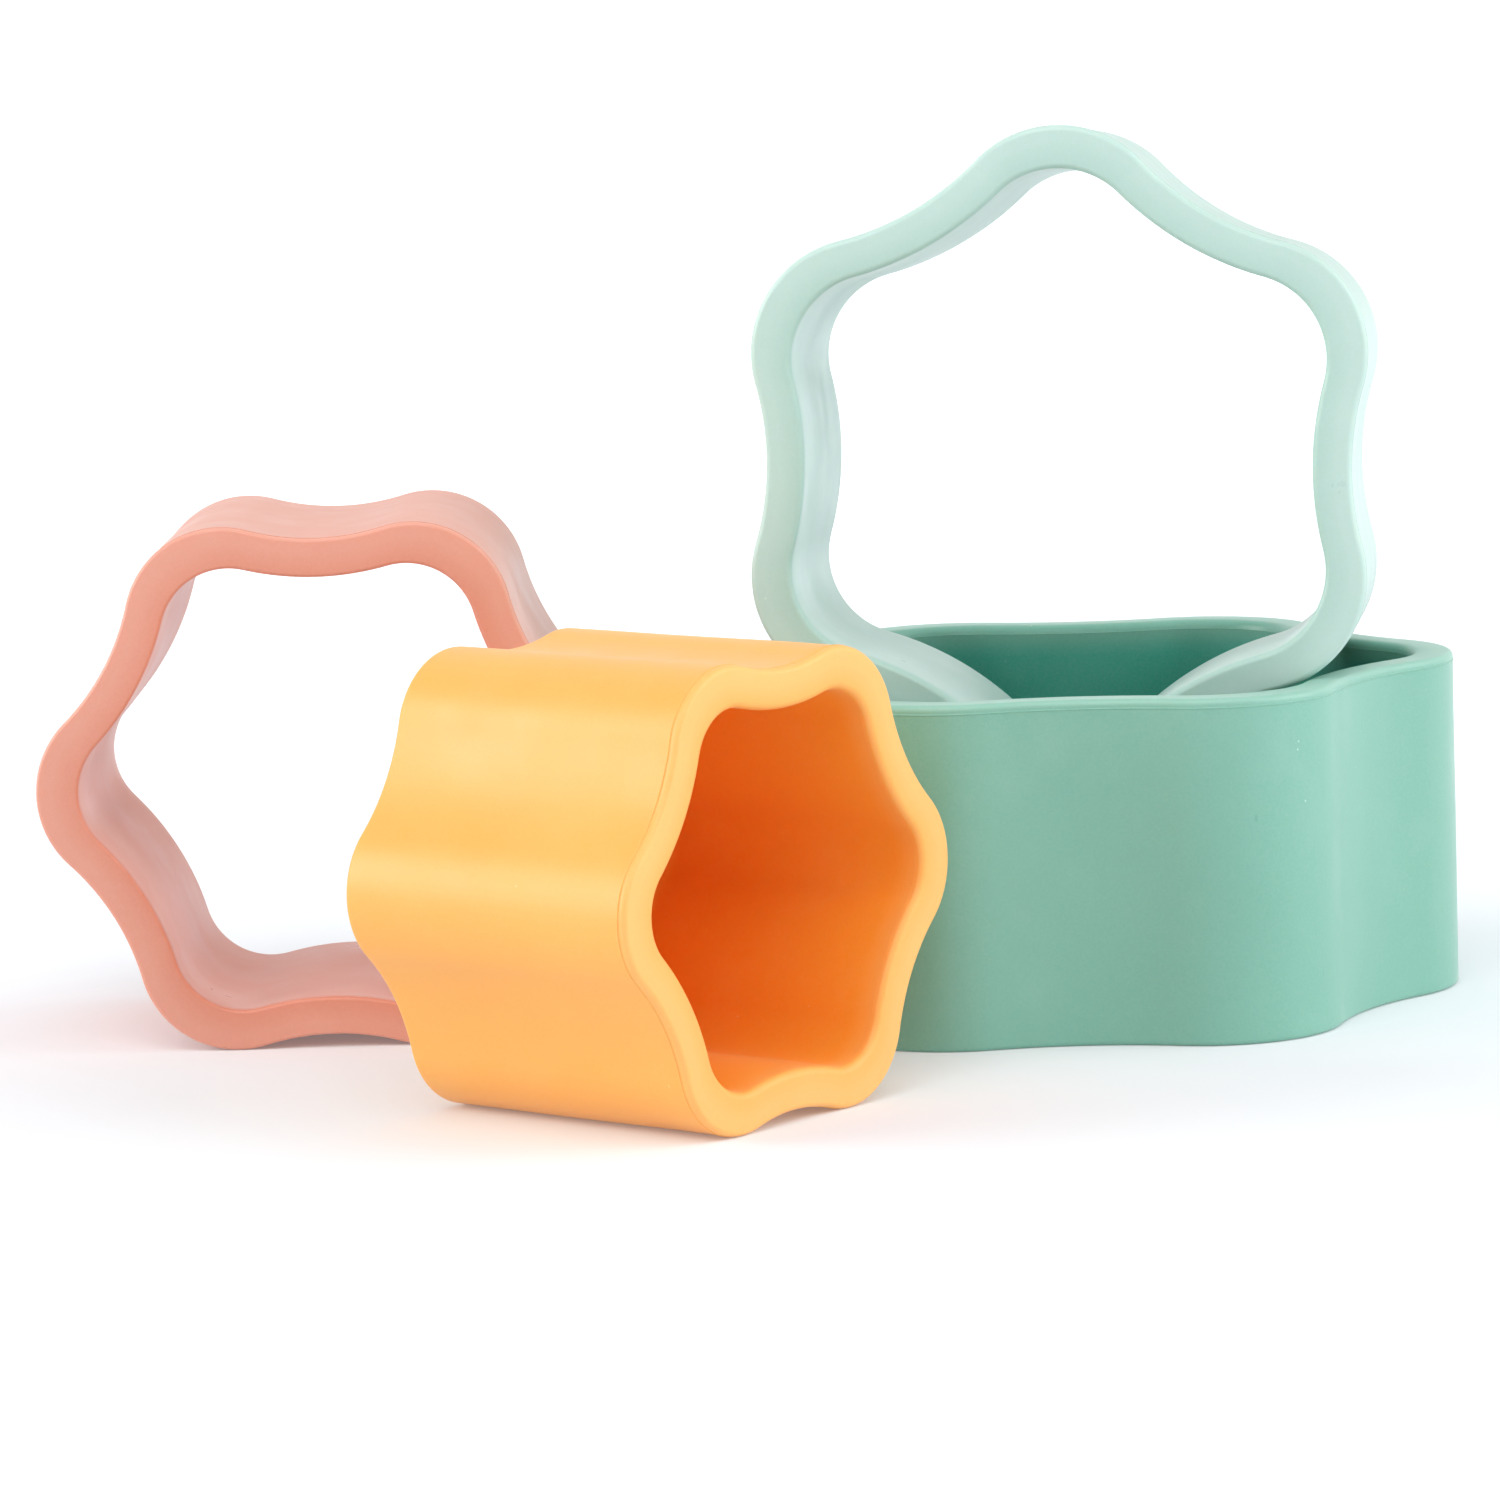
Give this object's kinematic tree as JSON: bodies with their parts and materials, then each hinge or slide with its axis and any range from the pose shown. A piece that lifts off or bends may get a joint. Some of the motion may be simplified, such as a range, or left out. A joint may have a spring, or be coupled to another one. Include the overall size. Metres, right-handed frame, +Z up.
{
  "type": "stacking cups",
  "caption": "Soft silicone stacking cups and rings with one wavy six-lobed outline, resting in a loose group with a ring wedged in the largest tub.",
  "frame": {"origin": "middle of the green tub's flat underside, on the table", "axes": "+Z up, +X to the right of the group, +Y towards its back"},
  "size_m": [0.2091, 0.1769, 0.1305],
  "materials": {
    "green_silicone": "matte moulded silicone",
    "mint_silicone": "matte moulded silicone",
    "pink_silicone": "matte moulded silicone",
    "yellow_silicone": "matte moulded silicone"
  },
  "bodies": {
    "green_tub": {"green_tub": "green_silicone"},
    "mint_ring": {"mint_ring": "mint_silicone"},
    "pink_ring": {"pink_ring": "pink_silicone"},
    "yellow_cup": {"yellow_cup": "yellow_silicone"}
  },
  "joints": [
    {"name": "mint_ring_lift", "type": "slide", "parent": "green_tub", "child": "mint_ring", "axis": [0, 0, 1], "range_m": [0, 0.045]},
    {"name": "pink_ring_tip", "type": "hinge", "parent": "green_tub", "child": "pink_ring", "pos_m": [-0.11036, 0.0205, 0], "axis": [-0.9998, 0.0175, 0], "range_deg": [0, 90]},
    {"name": "yellow_cup_tip", "type": "hinge", "parent": "green_tub", "child": "yellow_cup", "pos_m": [-0.04411, -0.0985, 0], "axis": [0.6361, 0.7716, 0], "range_deg": [0, 90]}
  ]
}
